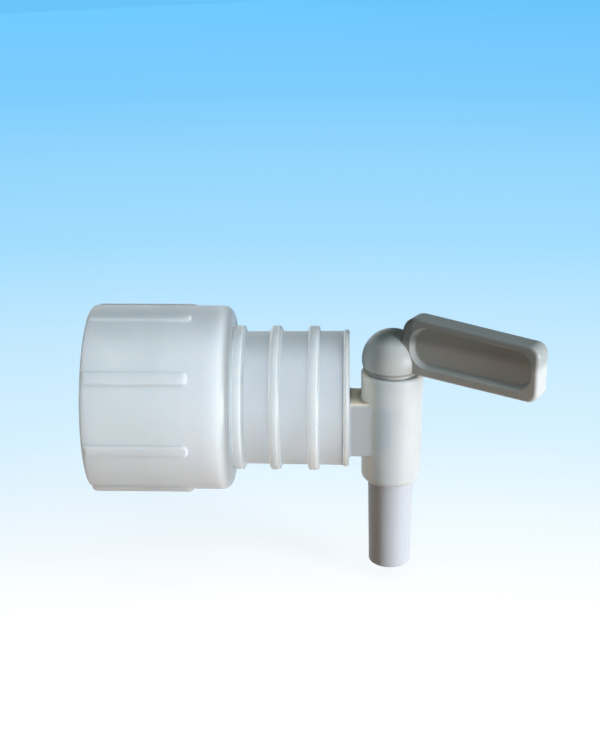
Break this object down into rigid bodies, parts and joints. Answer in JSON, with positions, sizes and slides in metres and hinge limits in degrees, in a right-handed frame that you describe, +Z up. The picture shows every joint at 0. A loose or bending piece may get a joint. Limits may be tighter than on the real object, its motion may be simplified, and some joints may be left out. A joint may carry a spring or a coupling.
{
  "type": "container spigot",
  "caption": "Plastic container tap: union nut with coarse inside thread, ribbed barrel and a small plug cock with paddle handle and tapered spout.",
  "frame": {"origin": "centre of the nut's open end, on the main axis", "axes": "+X along the main axis from the container to the tap, +Z up on the tap's handle side"},
  "size_m": [0.1649, 0.0702, 0.1028],
  "materials": {
    "natural_polyethylene": "moulded, satin, milky",
    "white_polyethylene": "moulded, satin, opaque",
    "seal_rubber": "moulded, matt"
  },
  "bodies": {
    "tap": {"ribbed_barrel": "natural_polyethylene", "tap_body": "natural_polyethylene", "sealing_washer": "seal_rubber"},
    "nut": {"cap_nut": "natural_polyethylene"},
    "plug": {"tap_plug": "white_polyethylene"}
  },
  "joints": [
    {"name": "nut_swivel", "type": "hinge", "parent": "tap", "child": "nut", "pos_m": [0.0508, 0, 0], "axis": [1, 0, 0], "continuous": true},
    {"name": "plug_turn", "type": "hinge", "parent": "tap", "child": "plug", "pos_m": [0.1118, 0, -0.0134], "axis": [0, 0, 1], "range_deg": [-74, 136]}
  ]
}
